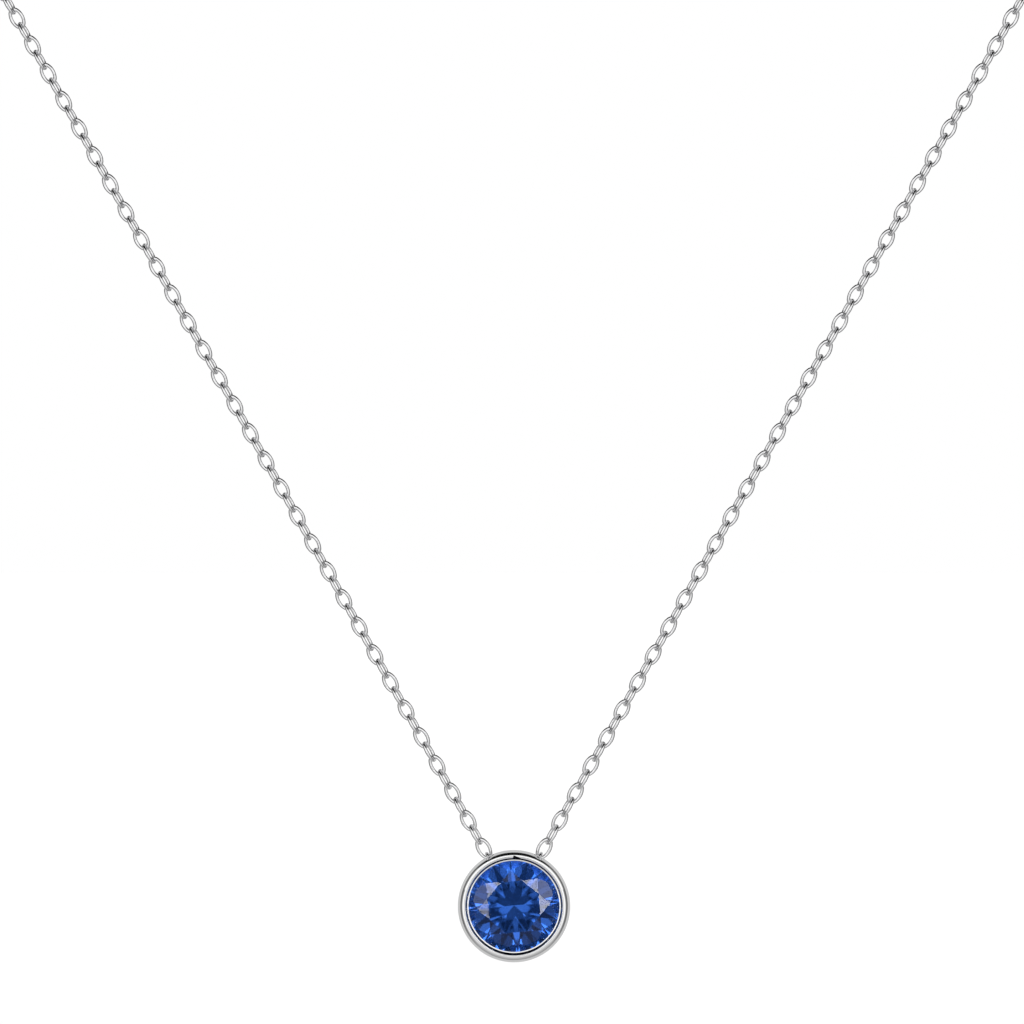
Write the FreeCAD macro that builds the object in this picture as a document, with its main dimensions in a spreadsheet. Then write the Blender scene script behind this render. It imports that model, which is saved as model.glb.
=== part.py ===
import FreeCAD, Part
import math
import os
import Sketcher
from FreeCAD import Placement, Rotation, Vector

# A pendant necklace, closed and hanging as it is worn. Millimetres and degrees, +Z up, the wearer
# faces -Y, and left and right are a viewer's who looks along +Y. The origin is the middle of the neck
# opening, on the neck's axis, at the height where the two front arms begin to hang.

DRIVING = {
    # cable chain
    "wire_diameter": 0.25,
    "link_width": 1.10,
    "link_pitch": 1.111,
    "link_play": 0.019,
    "link_end_radius": 0.33,
    "link_roll": 22.0,
    "arm_angle": 29.35,
    "arm_plane": -40.0,
    # where the chain lies round the neck
    "nape_depth": 42.0,
    "nape_height": 30.0,
    "nape_handle": 42.0,
    # pendant, measured from the plane of the stone's girdle, which faces -Y
    "hinge_depth": 0.925,
    "arm_apex_rise": 0.245,
    "arm_first_reach": 3.62,
    "stone_radius": 3.25,
    "girdle_thickness": 0.15,
    "table_radius": 1.925,
    "star_radius": 2.555,
    "crown_angle": 34.5,
    "pavilion_angle": 42.5,
    "lower_half_radius": 0.80,
    "stone_turn": 5.0,
    "collar_inner": 3.26,
    "collar_outer": 3.34,
    "collar_front": 0.225,
    "collar_back": 0.60,
    "collar_shoulder": 0.10,
    "collar_shoulder_curve": 0.25,
    "lip_root": 0.08,
    "lip_inner": 3.17,
    "lip_under": 0.145,
    "lip_over": 0.205,
    "lip_edge_slope": 0.01,
    "lip_shoulder": 3.27,
    "lip_curve": 0.30,
    "frame_play": 0.005,
    "face_edge": 0.52,
    "face_edge_curve": 0.16,
    "face_inner": 3.47,
    "face_front": 0.60,
    "face_outer": 3.64,
    "face_outer_depth": 0.555,
    "face_curve": 0.35,
    "shoulder_radius": 3.735,
    "shoulder_depth": 0.46,
    "shoulder_curve": 0.26,
    "rim_radius": 3.92,
    "rim_depth": 0.05,
    "rim_front_curve": 2.0,
    "rim_back": 0.42,
    "rim_under_curve": 0.40,
    "wall_front_radius": 3.62,
    "wall_back_radius": 3.45,
    "wall_back": 3.07,
    "frame_back": 3.15,
    "back_edge": 0.08,
    "back_edge_curve": 0.09,
    "back_inner": 2.92,
    "shelf_depth": 0.64,
    "seat_outer": 3.25,
    "seat_inner": 2.88,
    "seat_gap": 0.015,
    "bail_inner_radius": 0.25,
    "bail_play": 0.03,
    "bail_cut_reach": 0.8,
    # clasp
    "clasp_radius": 2.33,
    "tube_diameter": 0.95,
    "bore_diameter": 0.66,
    "bolt_diameter": 0.60,
    "gate_start": 25.0,
    "gate_end": 65.0,
    "socket_sweep": 6.0,
    "bolt_start": 21.0,
    "bolt_sweep": 97.0,
    "knob_at": 92.0,
    "knob_travel": 44.0,
    "bore_sweep": 140.0,
    "slot_spare": 8.0,
    "slot_half_width": 0.17,
    "slot_floor": 0.10,
    "cut_margin": 0.10,
    "stem_radius": 0.13,
    "stem_sink": 0.12,
    "knob_reach": 0.98,
    "knob_head_radius": 0.36,
    "knob_head_height": 0.30,
    "knob_crown_fall": 0.12,
    "knob_crown_curve": 0.62,
    "knob_under_bevel": 0.06,
    "spring_coil_radius": 0.21,
    "spring_wire": 0.10,
    "spring_turns": 11.0,
    "spring_front_gap": 1.0,
    "spring_back_gap": 3.0,
    "eye_wire": 0.35,
    "eye_radius": 0.625,
    "eye_sink": 0.12,
    # jump rings and tag
    "ring_wire": 0.35,
    "ring_radius": 1.025,
    "tag_half_width": 1.10,
    "tag_thickness": 0.35,
    "tag_length": 3.0,
    "tag_edge_curve": 0.07,
    "tag_ring_hole": 0.70,
    "tag_chain_hole": 0.45,
}

LOWER_LINKS = 26
MIDDLE_LINKS = 26
UPPER_LINKS = 26
SHOULDER_LINKS = 59
NAPE_LINKS = 59
GIRDLE_SIDES = 16
POINTS_PER_TURN = 12
SHORTEST_HANDLE, LONGEST_HANDLE = 5.0, 90.0
HALVINGS = 50

D = DRIVING
FRONT_LINKS = LOWER_LINKS + MIDDLE_LINKS + UPPER_LINKS
HALF_OVERLAP = (D["wire_diameter"] + D["link_play"]) / 2


def sine(degrees):
    return math.sin(math.radians(degrees))


def cosine(degrees):
    return math.cos(math.radians(degrees))


def tangent(degrees):
    return math.tan(math.radians(degrees))


# Each link is an oval of four arcs: two tight ends and two long sides that meet them tangentially.
LINK_HALF_LENGTH = D["link_pitch"] / 2 + HALF_OVERLAP
END_OFFSET = LINK_HALF_LENGTH - D["link_end_radius"]
SIDE_RISE = (D["link_width"] - D["wire_diameter"]) / 2 - D["link_end_radius"]
SIDE_OFFSET = (END_OFFSET**2 - SIDE_RISE**2) / (2 * SIDE_RISE)
SIDE_HALF_SWEEP = math.degrees(math.atan2(END_OFFSET, SIDE_OFFSET))

# The arms' centre lines meet a little above the pendant's middle.
ARM_LENGTH = D["arm_first_reach"] + HALF_OVERLAP + FRONT_LINKS * D["link_pitch"]
APEX_HEIGHT = (HALF_OVERLAP - ARM_LENGTH) * cosine(D["arm_angle"])

WORKED_OUT = {
    "wire_radius": D["wire_diameter"] / 2,
    "link_end_offset": END_OFFSET,
    "link_side_offset": SIDE_OFFSET,
    "link_side_radius": D["link_end_radius"] + math.hypot(END_OFFSET, SIDE_OFFSET),
    "link_side_sweep": 2 * SIDE_HALF_SWEEP,
    "link_end_sweep": 180 - 2 * SIDE_HALF_SWEEP,
    "pendant_height": APEX_HEIGHT - D["arm_apex_rise"],
    "girdle_plane": D["arm_plane"] - D["hinge_depth"],
    "frame_bore": D["collar_outer"] + D["frame_play"],
    "seat_front": D["girdle_thickness"] / 2 + D["seat_gap"],
    "seat_throat": D["girdle_thickness"] / 2
    + D["seat_gap"]
    + (D["seat_outer"] - D["seat_inner"]) * tangent(D["pavilion_angle"]),
    "bail_radius": D["bail_inner_radius"] + D["wire_diameter"] / 2,
    "tube_radius": D["tube_diameter"] / 2,
    "bore_radius": D["bore_diameter"] / 2,
    "bolt_radius": D["bolt_diameter"] / 2,
    "ring_sweep": 360 - D["gate_end"] + D["gate_start"],
    "socket_start": D["gate_start"] - D["socket_sweep"],
    "slot_start": D["knob_at"] - D["slot_spare"],
    "slot_sweep": D["knob_travel"] + 2 * D["slot_spare"],
    "stem_hole_start": D["knob_at"]
    - math.degrees(D["stem_radius"] / D["clasp_radius"]),
    "stem_hole_sweep": 2 * math.degrees(D["stem_radius"] / D["clasp_radius"]),
    "eye_wire_radius": D["eye_wire"] / 2,
    "ring_wire_radius": D["ring_wire"] / 2,
}
SIZES = {**DRIVING, **WORKED_OUT}

doc = FreeCAD.newDocument("pendant_necklace")
sheet = doc.addObject("Spreadsheet::Sheet", "Sizes")
for row, (name, size) in enumerate(SIZES.items(), start=1):
    sheet.set(f"A{row}", name)
    sheet.set(f"B{row}", f"{size:.6f}")
    sheet.setAlias(f"B{row}", name)
doc.recompute()


def amount(text):
    """The number that a sum of size names and numbers, such as "rim_radius - 0.2", comes to."""
    total, sign = 0.0, 1
    for word in text.split():
        if word in "+-":
            sign = -1 if word == "-" else 1
        else:
            total += sign * (SIZES[word] if word in SIZES else float(word))
            sign = 1
    return total


def formula(text):
    """The same sum, as an expression on the sheet's cells."""
    return " ".join(f"Sizes.{word}" if word in SIZES else word for word in text.split())


def bind(thing, sizes):
    for field, text in sizes.items():
        thing.setExpression(field, formula(text))


def origin_plane(body, role):
    return next(f for f in body.Origin.OriginFeatures if f.Role == role)


def new_body(label):
    body = doc.addObject("PartDesign::Body", label)
    body.Label = label
    return body


def new_sketch(body, name, role, turn=None):
    """A sketch on one of the body's planes, turned about its own upright axis if turn names an angle."""
    sketch = body.newObject("Sketcher::SketchObject", name)
    sketch.AttachmentSupport = [(origin_plane(body, role), "")]
    sketch.MapMode = "FlatFace"
    if turn:
        angle = amount(turn)
        sketch.AttachmentOffset = Placement(Vector(), Rotation(Vector(0, 1, 0), angle))
        sketch.setExpression("AttachmentOffset.Rotation.Angle", formula(turn))
    return sketch


def fix_point(sketch, edge, end, x, y):
    """Hold a point at (x, y) from the sketch's origin, each a sum of sizes."""
    for kind, text in (("DistanceX", x), ("DistanceY", y)):
        at = sketch.addConstraint(
            Sketcher.Constraint(kind, -1, 1, edge, end, amount(text))
        )
        sketch.setExpression(f"Constraints[{at}]", formula(text))


def add_outline(sketch, corners):
    """A closed outline, either way round. Each corner is (x, y), or (x, y, radius) where an arc that
    bulges outwards leads to it from the corner before."""
    points = [Vector(amount(c[0]), amount(c[1]), 0) for c in corners]
    area = sum(a.cross(b).z for a, b in zip(points, points[1:] + points[:1]))
    outward = 1 if area < 0 else -1
    edges = []
    for i, corner in enumerate(corners):
        start, end = points[i - 1], points[i]
        if len(corner) == 2:
            edges.append(sketch.addGeometry(Part.LineSegment(start, end)))
            continue
        radius = amount(corner[2])
        chord = end - start
        left = Vector(-chord.y, chord.x, 0).normalize()
        rise = math.sqrt(radius**2 - (chord.Length / 2) ** 2)
        top = (start + end) / 2 + left * (outward * (radius - rise))
        edges.append(sketch.addGeometry(Part.Arc(start, top, end)))
    # an arc of a circle runs anticlockwise, so a clockwise path meets its end first
    arc_start, arc_end = (2, 1) if area < 0 else (1, 2)
    for i, corner in enumerate(corners):
        before, after = edges[i], edges[(i + 1) % len(edges)]
        arc_before, arc_after = len(corner) == 3, len(corners[(i + 1) % len(edges)]) == 3
        end_of_before = arc_end if arc_before else 2
        start_of_after = arc_start if arc_after else 1
        sketch.addConstraint(
            Sketcher.Constraint("Coincident", before, end_of_before, after, start_of_after)
        )
        fix_point(sketch, before, end_of_before, corner[0], corner[1])
        if arc_before:
            at = sketch.addConstraint(
                Sketcher.Constraint("Radius", before, amount(corner[2]))
            )
            sketch.setExpression(f"Constraints[{at}]", formula(corner[2]))


def add_circle(sketch, x, y, radius):
    middle = Vector(amount(x), amount(y), 0)
    circle = sketch.addGeometry(Part.Circle(middle, Vector(0, 0, 1), amount(radius)))
    fix_point(sketch, circle, 3, x, y)
    at = sketch.addConstraint(Sketcher.Constraint("Radius", circle, amount(radius)))
    sketch.setExpression(f"Constraints[{at}]", formula(radius))


def revolve(body, kind, name, sketch, sweep="360"):
    """Turn a sketch about its own upright axis: kind is Revolution, which adds, or Groove, which cuts."""
    feature = body.newObject(f"PartDesign::{kind}", name)
    feature.Profile = sketch
    feature.ReferenceAxis = (sketch, ["V_Axis"])
    feature.Angle = amount(sweep)
    feature.setExpression("Angle", formula(sweep))
    doc.recompute()
    return feature


def turned_piece(label, corners):
    """A round piece about the pendant's axis. Corners are (radius, depth behind the girdle plane)."""
    body = new_body(label)
    outline = new_sketch(body, f"{label}_outline", "XY_Plane")
    add_outline(outline, corners)
    revolve(body, "Revolution", f"{label}_turning", outline)
    place_on_pendant(body)
    return body


def place_on_pendant(thing):
    bind(
        thing,
        {
            "Placement.Base.y": "girdle_plane",
            "Placement.Base.z": "pendant_height",
        },
    )


def torus(name, ring_radius, wire_radius):
    """A ring of round wire whose axis is its own Z."""
    ring = doc.addObject("Part::Torus", name)
    bind(ring, {"Radius1": ring_radius, "Radius2": wire_radius})
    return ring


# ---- chain ----


def link_pattern():
    """One oval link of round wire, long along X and wide along Y, fused from four bends."""
    bends = []
    for name, turn, sweep, radius, along_x, along_y in (
        ("link_right_end", -1, "link_end_sweep", "link_end_radius", "link_end_offset", "0"),
        ("link_top_side", 0, "link_side_sweep", "link_side_radius", "0", "- link_side_offset"),
        ("link_left_end", 1, "link_end_sweep", "link_end_radius", "- link_end_offset", "0"),
        ("link_bottom_side", 2, "link_side_sweep", "link_side_radius", "0", "link_side_offset"),
    ):
        bend = torus(name, radius, "wire_radius")
        bind(
            bend,
            {"Angle3": sweep, "Placement.Base.x": along_x, "Placement.Base.y": along_y},
        )
        middle = 90 * (turn + 1)
        bend.Placement.Rotation = Rotation(Vector(0, 0, 1), middle - amount(sweep) / 2)
        bends.append(bend)
    link = doc.addObject("Part::MultiFuse", "link_pattern")
    link.Shapes = bends
    link.Refine = True
    doc.recompute()
    return link


def side_sign(side):
    return -1 if side == "left" else 1


def arm_direction(side):
    return Vector(
        side_sign(side) * sine(D["arm_angle"]), 0, cosine(D["arm_angle"])
    )


def arm_point(side, distance):
    """A point on an arm's centre line, so far from where the two arms' lines meet."""
    return Vector(0, D["arm_plane"], APEX_HEIGHT) + arm_direction(side) * distance


def neck_curve(side, handle, end):
    """From the top of an arm, over the shoulder, to the nape, where it runs level towards the clasp."""
    top = arm_point(side, ARM_LENGTH)
    outward = Vector(side_sign(side) * D["nape_handle"], 0, 0)
    curve = Part.BezierCurve()
    curve.setPoles([top, top + arm_direction(side) * handle, end + outward, end])
    return curve


def neck_points(side, end):
    """The joints between the links round the neck. The curve's reach over the shoulder is set so that
    a whole number of links fits it."""
    count = SHOULDER_LINKS + NAPE_LINKS
    low, high = SHORTEST_HANDLE, LONGEST_HANDLE
    for _ in range(HALVINGS):
        handle = (low + high) / 2
        if neck_curve(side, handle, end).length() < count * D["link_pitch"]:
            low = handle
        else:
            high = handle
    shape = neck_curve(side, handle, end).toShape()
    points = shape.discretize(Number=count + 1)
    if (points[0] - end).Length < (points[-1] - end).Length:
        points.reverse()
    return points


def carried(axis, along):
    """The axis as it is carried on to a new direction without twisting about it."""
    flat = axis - along * axis.dot(along)
    return flat.normalize()


def turned(axis, along, degrees):
    return Rotation(along, degrees).multVec(axis)


def angle_about(along, start, end):
    """The signed turn about along from start to end, brought within a quarter turn, because a link
    looks the same after half a turn."""
    angle = math.degrees(math.atan2(start.cross(end).dot(along), start.dot(end)))
    while angle > 90:
        angle -= 180
    while angle < -90:
        angle += 180
    return angle


def link_placements(side, end, last_width):
    """The place of each link of one side, from the pendant to the clasp. Odd links lie nearly flat to a
    viewer and even ones stand on edge, and the whole run turns slowly so that the last link's width
    lies along last_width."""
    first = D["arm_first_reach"] + HALF_OVERLAP
    points = [arm_point(side, first + i * D["link_pitch"]) for i in range(FRONT_LINKS)]
    points += neck_points(side, end)
    directions = [(b - a).normalize() for a, b in zip(points, points[1:])]
    inner = Vector(-side_sign(side) * cosine(D["arm_angle"]), 0, sine(D["arm_angle"]))
    width = inner * cosine(D["link_roll"]) - Vector(0, sine(D["link_roll"]), 0)
    widths = []
    for along in directions:
        width = carried(width, along)
        widths.append(width)
    last = directions[-1]
    last_turn = 90 if len(directions) % 2 == 0 else 0
    twist = angle_about(last, turned(widths[-1], last, last_turn), last_width)
    neck_count = len(directions) - FRONT_LINKS
    places = []
    for i, (along, width) in enumerate(zip(directions, widths)):
        share = max(0, i + 1 - FRONT_LINKS) / neck_count
        across = turned(width, along, twist * share + (90 if i % 2 else 0))
        spin = Rotation(along, across, along.cross(across), "XYZ")
        places.append(Placement((points[i] + points[i + 1]) / 2, spin))
    return places


def chain_run(label, link, places):
    """A run of links, each a closed ring of its own through its neighbours."""
    run = doc.addObject("Part::Feature", label)
    run.Label = label
    links = []
    for place in places:
        copy = link.Shape.copy()
        copy.Placement = place
        links.append(copy)
    run.Shape = Part.makeCompound(links)
    return run


def chain_side(side, link, end, last_width):
    places = link_placements(side, end, last_width)
    runs = []
    for part, count in (
        ("lower", LOWER_LINKS),
        ("middle", MIDDLE_LINKS),
        ("upper", UPPER_LINKS),
        ("shoulder", SHOULDER_LINKS),
        ("nape", NAPE_LINKS),
    ):
        runs.append(chain_run(f"{side}_{part}_links", link, places[:count]))
        places = places[count:]
    return runs


# ---- pendant ----


def bezel_frame():
    """The heavy rim and tapering wall round the stone. Its front is a nearly flat face with a rounded
    inner edge, and a narrow shoulder beyond which it falls away to the rim."""
    return turned_piece(
        "bezel_frame",
        [
            ("frame_bore", "shelf_depth"),
            ("frame_bore", "- face_edge"),
            ("face_inner", "- face_front", "face_edge_curve"),
            ("face_outer", "- face_outer_depth", "face_curve"),
            ("shoulder_radius", "- shoulder_depth", "shoulder_curve"),
            ("rim_radius", "- rim_depth", "rim_front_curve"),
            ("wall_front_radius", "rim_back", "rim_under_curve"),
            ("wall_back_radius", "wall_back"),
            ("wall_back_radius - back_edge", "frame_back", "back_edge_curve"),
            ("back_inner + back_edge", "frame_back"),
            ("back_inner", "wall_back", "back_edge_curve"),
            ("back_inner", "shelf_depth"),
        ],
    )


def bezel_collar():
    """The thin wall that lines the frame, its front edge pressed down over the stone's crown. Outside
    the lip it falls back, which leaves a narrow groove inside the frame's face."""
    return turned_piece(
        "bezel_collar",
        [
            ("collar_inner", "collar_back"),
            ("collar_inner", "- lip_root"),
            ("lip_inner", "- lip_under"),
            ("lip_inner + lip_edge_slope", "- lip_over"),
            ("lip_shoulder", "- collar_front", "lip_curve"),
            ("collar_outer", "- collar_shoulder", "collar_shoulder_curve"),
            ("collar_outer", "collar_back"),
        ],
    )


def stone_seat():
    """The bearing ring inside the collar, its front a cone that the stone's pavilion rests on."""
    return turned_piece(
        "stone_seat",
        [
            ("seat_inner", "collar_back"),
            ("seat_inner", "seat_throat"),
            ("seat_outer", "seat_front"),
            ("seat_outer", "collar_back"),
        ],
    )


def round_points(count, radius, depth, turn):
    """Points evenly round the pendant's axis, turn degrees on from the first corner of the table."""
    step = 360 / count
    return [
        Vector(
            radius * cosine(D["stone_turn"] + turn + i * step),
            depth,
            radius * sine(D["stone_turn"] + turn + i * step),
        )
        for i in range(count)
    ]


def blue_stone():
    """A round brilliant: table, 8 stars, 8 kites and 16 upper halves above a girdle of 16 flats, and
    16 lower halves and 8 mains that meet at the culet below it."""
    radius = D["stone_radius"]
    girdle_front = -D["girdle_thickness"] / 2
    girdle_back = D["girdle_thickness"] / 2
    slope, fall = tangent(D["crown_angle"]), tangent(D["pavilion_angle"])
    table_depth = girdle_front - (radius - D["table_radius"]) * slope
    star_depth = girdle_front - (radius - D["star_radius"] * cosine(22.5)) * slope
    half_depth = girdle_back + (radius - D["lower_half_radius"] * cosine(22.5)) * fall
    table = round_points(8, D["table_radius"], table_depth, 22.5)
    stars = round_points(8, D["star_radius"], star_depth, 45)
    front = round_points(GIRDLE_SIDES, radius, girdle_front, 22.5)
    back = round_points(GIRDLE_SIDES, radius, girdle_back, 22.5)
    halves = round_points(8, D["lower_half_radius"], half_depth, 45)
    culet = Vector(0, girdle_back + radius * fall, 0)
    facets = [table]
    for i in range(8):
        j, before, at = (i + 1) % 8, i - 1, 2 * i
        facets.append([table[i], table[j], stars[i]])
        facets.append([table[i], stars[i], front[at], stars[before]])
        facets.append([stars[i], front[at], front[at + 1]])
        facets.append([stars[i], front[at + 1], front[(at + 2) % GIRDLE_SIDES]])
        facets.append([culet, halves[i], back[at], halves[before]])
        facets.append([halves[i], back[at], back[at + 1]])
        facets.append([halves[i], back[at + 1], back[(at + 2) % GIRDLE_SIDES]])
    for i in range(GIRDLE_SIDES):
        j = (i + 1) % GIRDLE_SIDES
        facets.append([front[i], front[j], back[j], back[i]])
    faces = [Part.Face(Part.makePolygon(f + f[:1])) for f in facets]
    solid = Part.Solid(Part.Shell(faces))
    if solid.Volume < 0:
        solid.reverse()
    stone = doc.addObject("Part::Feature", "blue_stone")
    stone.Label = "blue_stone"
    stone.Shape = solid
    place_on_pendant(stone)
    return stone


def wall_radius(depth):
    """The outside of the frame's tapering wall, so far behind the girdle plane."""
    share = (depth - D["rim_back"]) / (D["wall_back"] - D["rim_back"])
    return D["wall_front_radius"] + share * (D["wall_back_radius"] - D["wall_front_radius"])


def bail_loop(side):
    """A small ring soldered on the frame, standing edge-on, with the chain's first link through it."""
    grip = arm_direction(side) * D["arm_first_reach"] + Vector(0, 0, D["arm_apex_rise"])
    outward = Vector(grip).normalize()
    reach = grip.Length + D["wire_diameter"] / 2 + D["bail_play"] - D["bail_inner_radius"]
    middle = Vector(0, D["arm_plane"], SIZES["pendant_height"]) + outward * reach
    ring = torus(f"{side}_bail_ring", "bail_radius", "wire_radius")
    across = Vector(0, 1, 0)
    ring.Placement = Placement(middle, Rotation(outward, across, outward.cross(across), "XYZ"))
    front = D["hinge_depth"] - D["bail_cut_reach"]
    back = D["hinge_depth"] + D["bail_cut_reach"]
    wall = doc.addObject("Part::Cone", f"{side}_bail_wall")
    wall.Radius1 = wall_radius(front)
    wall.Radius2 = wall_radius(back)
    wall.Height = back - front
    wall.Placement = Placement(
        Vector(0, SIZES["girdle_plane"] + front, SIZES["pendant_height"]),
        Rotation(Vector(1, 0, 0), -90),
    )
    loop = doc.addObject("Part::Cut", f"{side}_bail_loop")
    loop.Label = f"{side}_bail_loop"
    loop.Base = ring
    loop.Tool = wall
    return loop


# ---- clasp ----


def nape(x):
    return Vector(x, D["nape_depth"], D["nape_height"])


def arc_section(body, kind, name, start, sweep, radius):
    """A round section swept about the clasp's axis from start."""
    section = new_sketch(body, f"{name}_section", "XY_Plane", start)
    add_circle(section, "clasp_radius", "0", radius)
    return revolve(body, kind, name, section, sweep)


def box_section(body, name, start, sweep, inner, outer, half_width):
    """A square-cornered channel cut about the clasp's axis, between two radii."""
    section = new_sketch(body, f"{name}_section", "XY_Plane", start)
    add_outline(
        section,
        [
            (inner, f"- {half_width}"),
            (inner, half_width),
            (outer, half_width),
            (outer, f"- {half_width}"),
        ],
    )
    return revolve(body, "Groove", name, section, sweep)


def place_at_nape(thing):
    """Angles about the clasp's axis run upwards from +X. The gate and the knob are above the level
    line, because the closed side of the ring is the heavier and hangs below it."""
    thing.Placement = Placement(nape(0), Rotation(Vector(1, 0, 0), 180))
    bind(thing, {"Placement.Base.y": "nape_depth", "Placement.Base.z": "nape_height"})


def clasp_ring():
    """The hollow ring, open at the gate, with a bore for the bolt and its spring, a socket for the
    bolt's tip, and a slot that the knob's stem runs in."""
    body = new_body("clasp_ring")
    arc_section(body, "Revolution", "ring_tube", "gate_end", "ring_sweep", "tube_radius")
    arc_section(body, "Groove", "ring_bore", "gate_end", "bore_sweep", "bore_radius")
    arc_section(body, "Groove", "ring_socket", "socket_start", "socket_sweep", "bore_radius")
    box_section(
        body,
        "knob_slot",
        "slot_start",
        "slot_sweep",
        "clasp_radius + slot_floor",
        "clasp_radius + tube_radius + cut_margin",
        "slot_half_width",
    )
    place_at_nape(body)
    return body


def clasp_bolt():
    """The curved bolt that slides in the ring and closes the gate."""
    body = new_body("clasp_bolt")
    arc_section(body, "Revolution", "bolt_rod", "bolt_start", "bolt_sweep", "bolt_radius")
    box_section(
        body,
        "stem_hole",
        "stem_hole_start",
        "stem_hole_sweep",
        "clasp_radius + stem_sink",
        "clasp_radius + bolt_radius + cut_margin",
        "stem_radius",
    )
    place_at_nape(body)
    return body


def clasp_knob():
    """The thumb knob: a stem that stands in the bolt, and a rounded head outside the ring."""
    body = new_body("clasp_knob")
    outline = new_sketch(body, "knob_outline", "XY_Plane")
    add_outline(
        outline,
        [
            ("0", "clasp_radius + stem_sink"),
            ("0", "clasp_radius + knob_reach"),
            (
                "knob_head_radius",
                "clasp_radius + knob_reach - knob_crown_fall",
                "knob_crown_curve",
            ),
            (
                "knob_head_radius",
                "clasp_radius + knob_reach - knob_head_height + knob_under_bevel",
            ),
            (
                "knob_head_radius - knob_under_bevel",
                "clasp_radius + knob_reach - knob_head_height",
            ),
            ("stem_radius", "clasp_radius + knob_reach - knob_head_height"),
            ("stem_radius", "clasp_radius + stem_sink"),
        ],
    )
    revolve(body, "Revolution", "knob_turning", outline)
    spin = Rotation(Vector(0, 1, 0), -D["knob_at"]) * Rotation(Vector(0, 0, 1), -90)
    body.Placement = Placement(nape(0), spin)
    return body


def clasp_spring():
    """The coil spring behind the bolt, of square wire wound along the ring's curve. It has the length
    it is squeezed to when the knob is pulled right back, so that the bolt is clear of it all the way."""
    start = D["bolt_start"] + D["bolt_sweep"] + D["knob_travel"] + D["spring_front_gap"]
    end = D["gate_end"] + D["bore_sweep"] - D["spring_back_gap"]
    steps = int(POINTS_PER_TURN * D["spring_turns"])
    points = []
    for i in range(steps + 1):
        around = start + (end - start) * i / steps
        coil = 360 * D["spring_turns"] * i / steps
        out = D["clasp_radius"] + D["spring_coil_radius"] * cosine(coil)
        aside = D["spring_coil_radius"] * sine(coil)
        points.append(Vector(out * cosine(around), aside, -out * sine(around)))
    line = Part.BSplineCurve()
    line.interpolate(points)
    path = Part.Wire([line.toShape()])
    along = line.tangent(line.FirstParameter)[0]
    outward = carried(Vector(cosine(start), 0, -sine(start)), along)
    upward = along.cross(outward)
    half = D["spring_wire"] / 2
    corners = [
        points[0] + outward * (half * a) + upward * (half * b)
        for a, b in ((-1, -1), (1, -1), (1, 1), (-1, 1), (-1, -1))
    ]
    section = Part.makePolygon(corners)
    spring = doc.addObject("Part::Feature", "clasp_spring")
    spring.Label = "clasp_spring"
    spring.Shape = path.makePipeShell([section], True, True)
    place_at_nape(spring)
    return spring


def clasp_eye():
    """The small fixed ring on the clasp's left, soldered to the tube."""
    eye = torus("eye_ring", "eye_radius", "eye_wire_radius")
    eye.Placement = Placement(nape(EYE_AT), Rotation(Vector(1, 0, 0), 90))
    tube = torus("eye_tube", "clasp_radius", "tube_radius")
    tube.Placement = Placement(nape(0), Rotation(Vector(1, 0, 0), 90))
    loop = doc.addObject("Part::Cut", "clasp_eye")
    loop.Label = "clasp_eye"
    loop.Base = eye
    loop.Tool = tube
    return loop


def jump_ring(label, x, upright):
    """A closed ring at the end of the chain, upright or lying level."""
    ring = torus(label, "ring_radius", "ring_wire_radius")
    ring.Label = label
    ring.Placement = Placement(nape(x), Rotation(Vector(1, 0, 0), 90 if upright else 0))
    return ring


def catch_tag():
    """A plain level plate with a hole for the clasp and a smaller one for its jump ring."""
    body = new_body("catch_tag")
    outline = new_sketch(body, "tag_outline", "XY_Plane")
    half, far = amount("tag_half_width"), amount("tag_length")
    up, down = Vector(0, half, 0), Vector(0, -half, 0)
    along = Vector(far, 0, 0)
    left = outline.addGeometry(Part.Arc(up, Vector(-half, 0, 0), down))
    right = outline.addGeometry(
        Part.Arc(along + down, along + Vector(half, 0, 0), along + up)
    )
    front = outline.addGeometry(Part.LineSegment(down, along + down))
    back = outline.addGeometry(Part.LineSegment(along + up, up))
    for a, a_end, b, b_end in (
        (left, 2, front, 1),
        (front, 2, right, 1),
        (right, 2, back, 1),
        (back, 2, left, 1),
    ):
        outline.addConstraint(Sketcher.Constraint("Tangent", a, a_end, b, b_end))
    for arc, x in ((left, "0"), (right, "tag_length")):
        fix_point(outline, arc, 3, x, "0")
        at = outline.addConstraint(Sketcher.Constraint("Radius", arc, half))
        outline.setExpression(f"Constraints[{at}]", formula("tag_half_width"))
    add_circle(outline, "0", "0", "tag_ring_hole")
    add_circle(outline, "tag_length", "0", "tag_chain_hole")
    plate = body.newObject("PartDesign::Pad", "tag_plate")
    plate.Profile = outline
    plate.Midplane = True
    plate.Length = amount("tag_thickness")
    plate.setExpression("Length", formula("tag_thickness"))
    doc.recompute()
    worn = body.newObject("PartDesign::Fillet", "tag_edges")
    worn.Base = (plate, [f"Edge{i + 1}" for i in range(len(plate.Shape.Edges))])
    worn.Radius = amount("tag_edge_curve")
    worn.setExpression("Radius", formula("tag_edge_curve"))
    body.Placement = Placement(nape(TAG_AT), Rotation())
    return body


# ---- assembly ----

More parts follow.
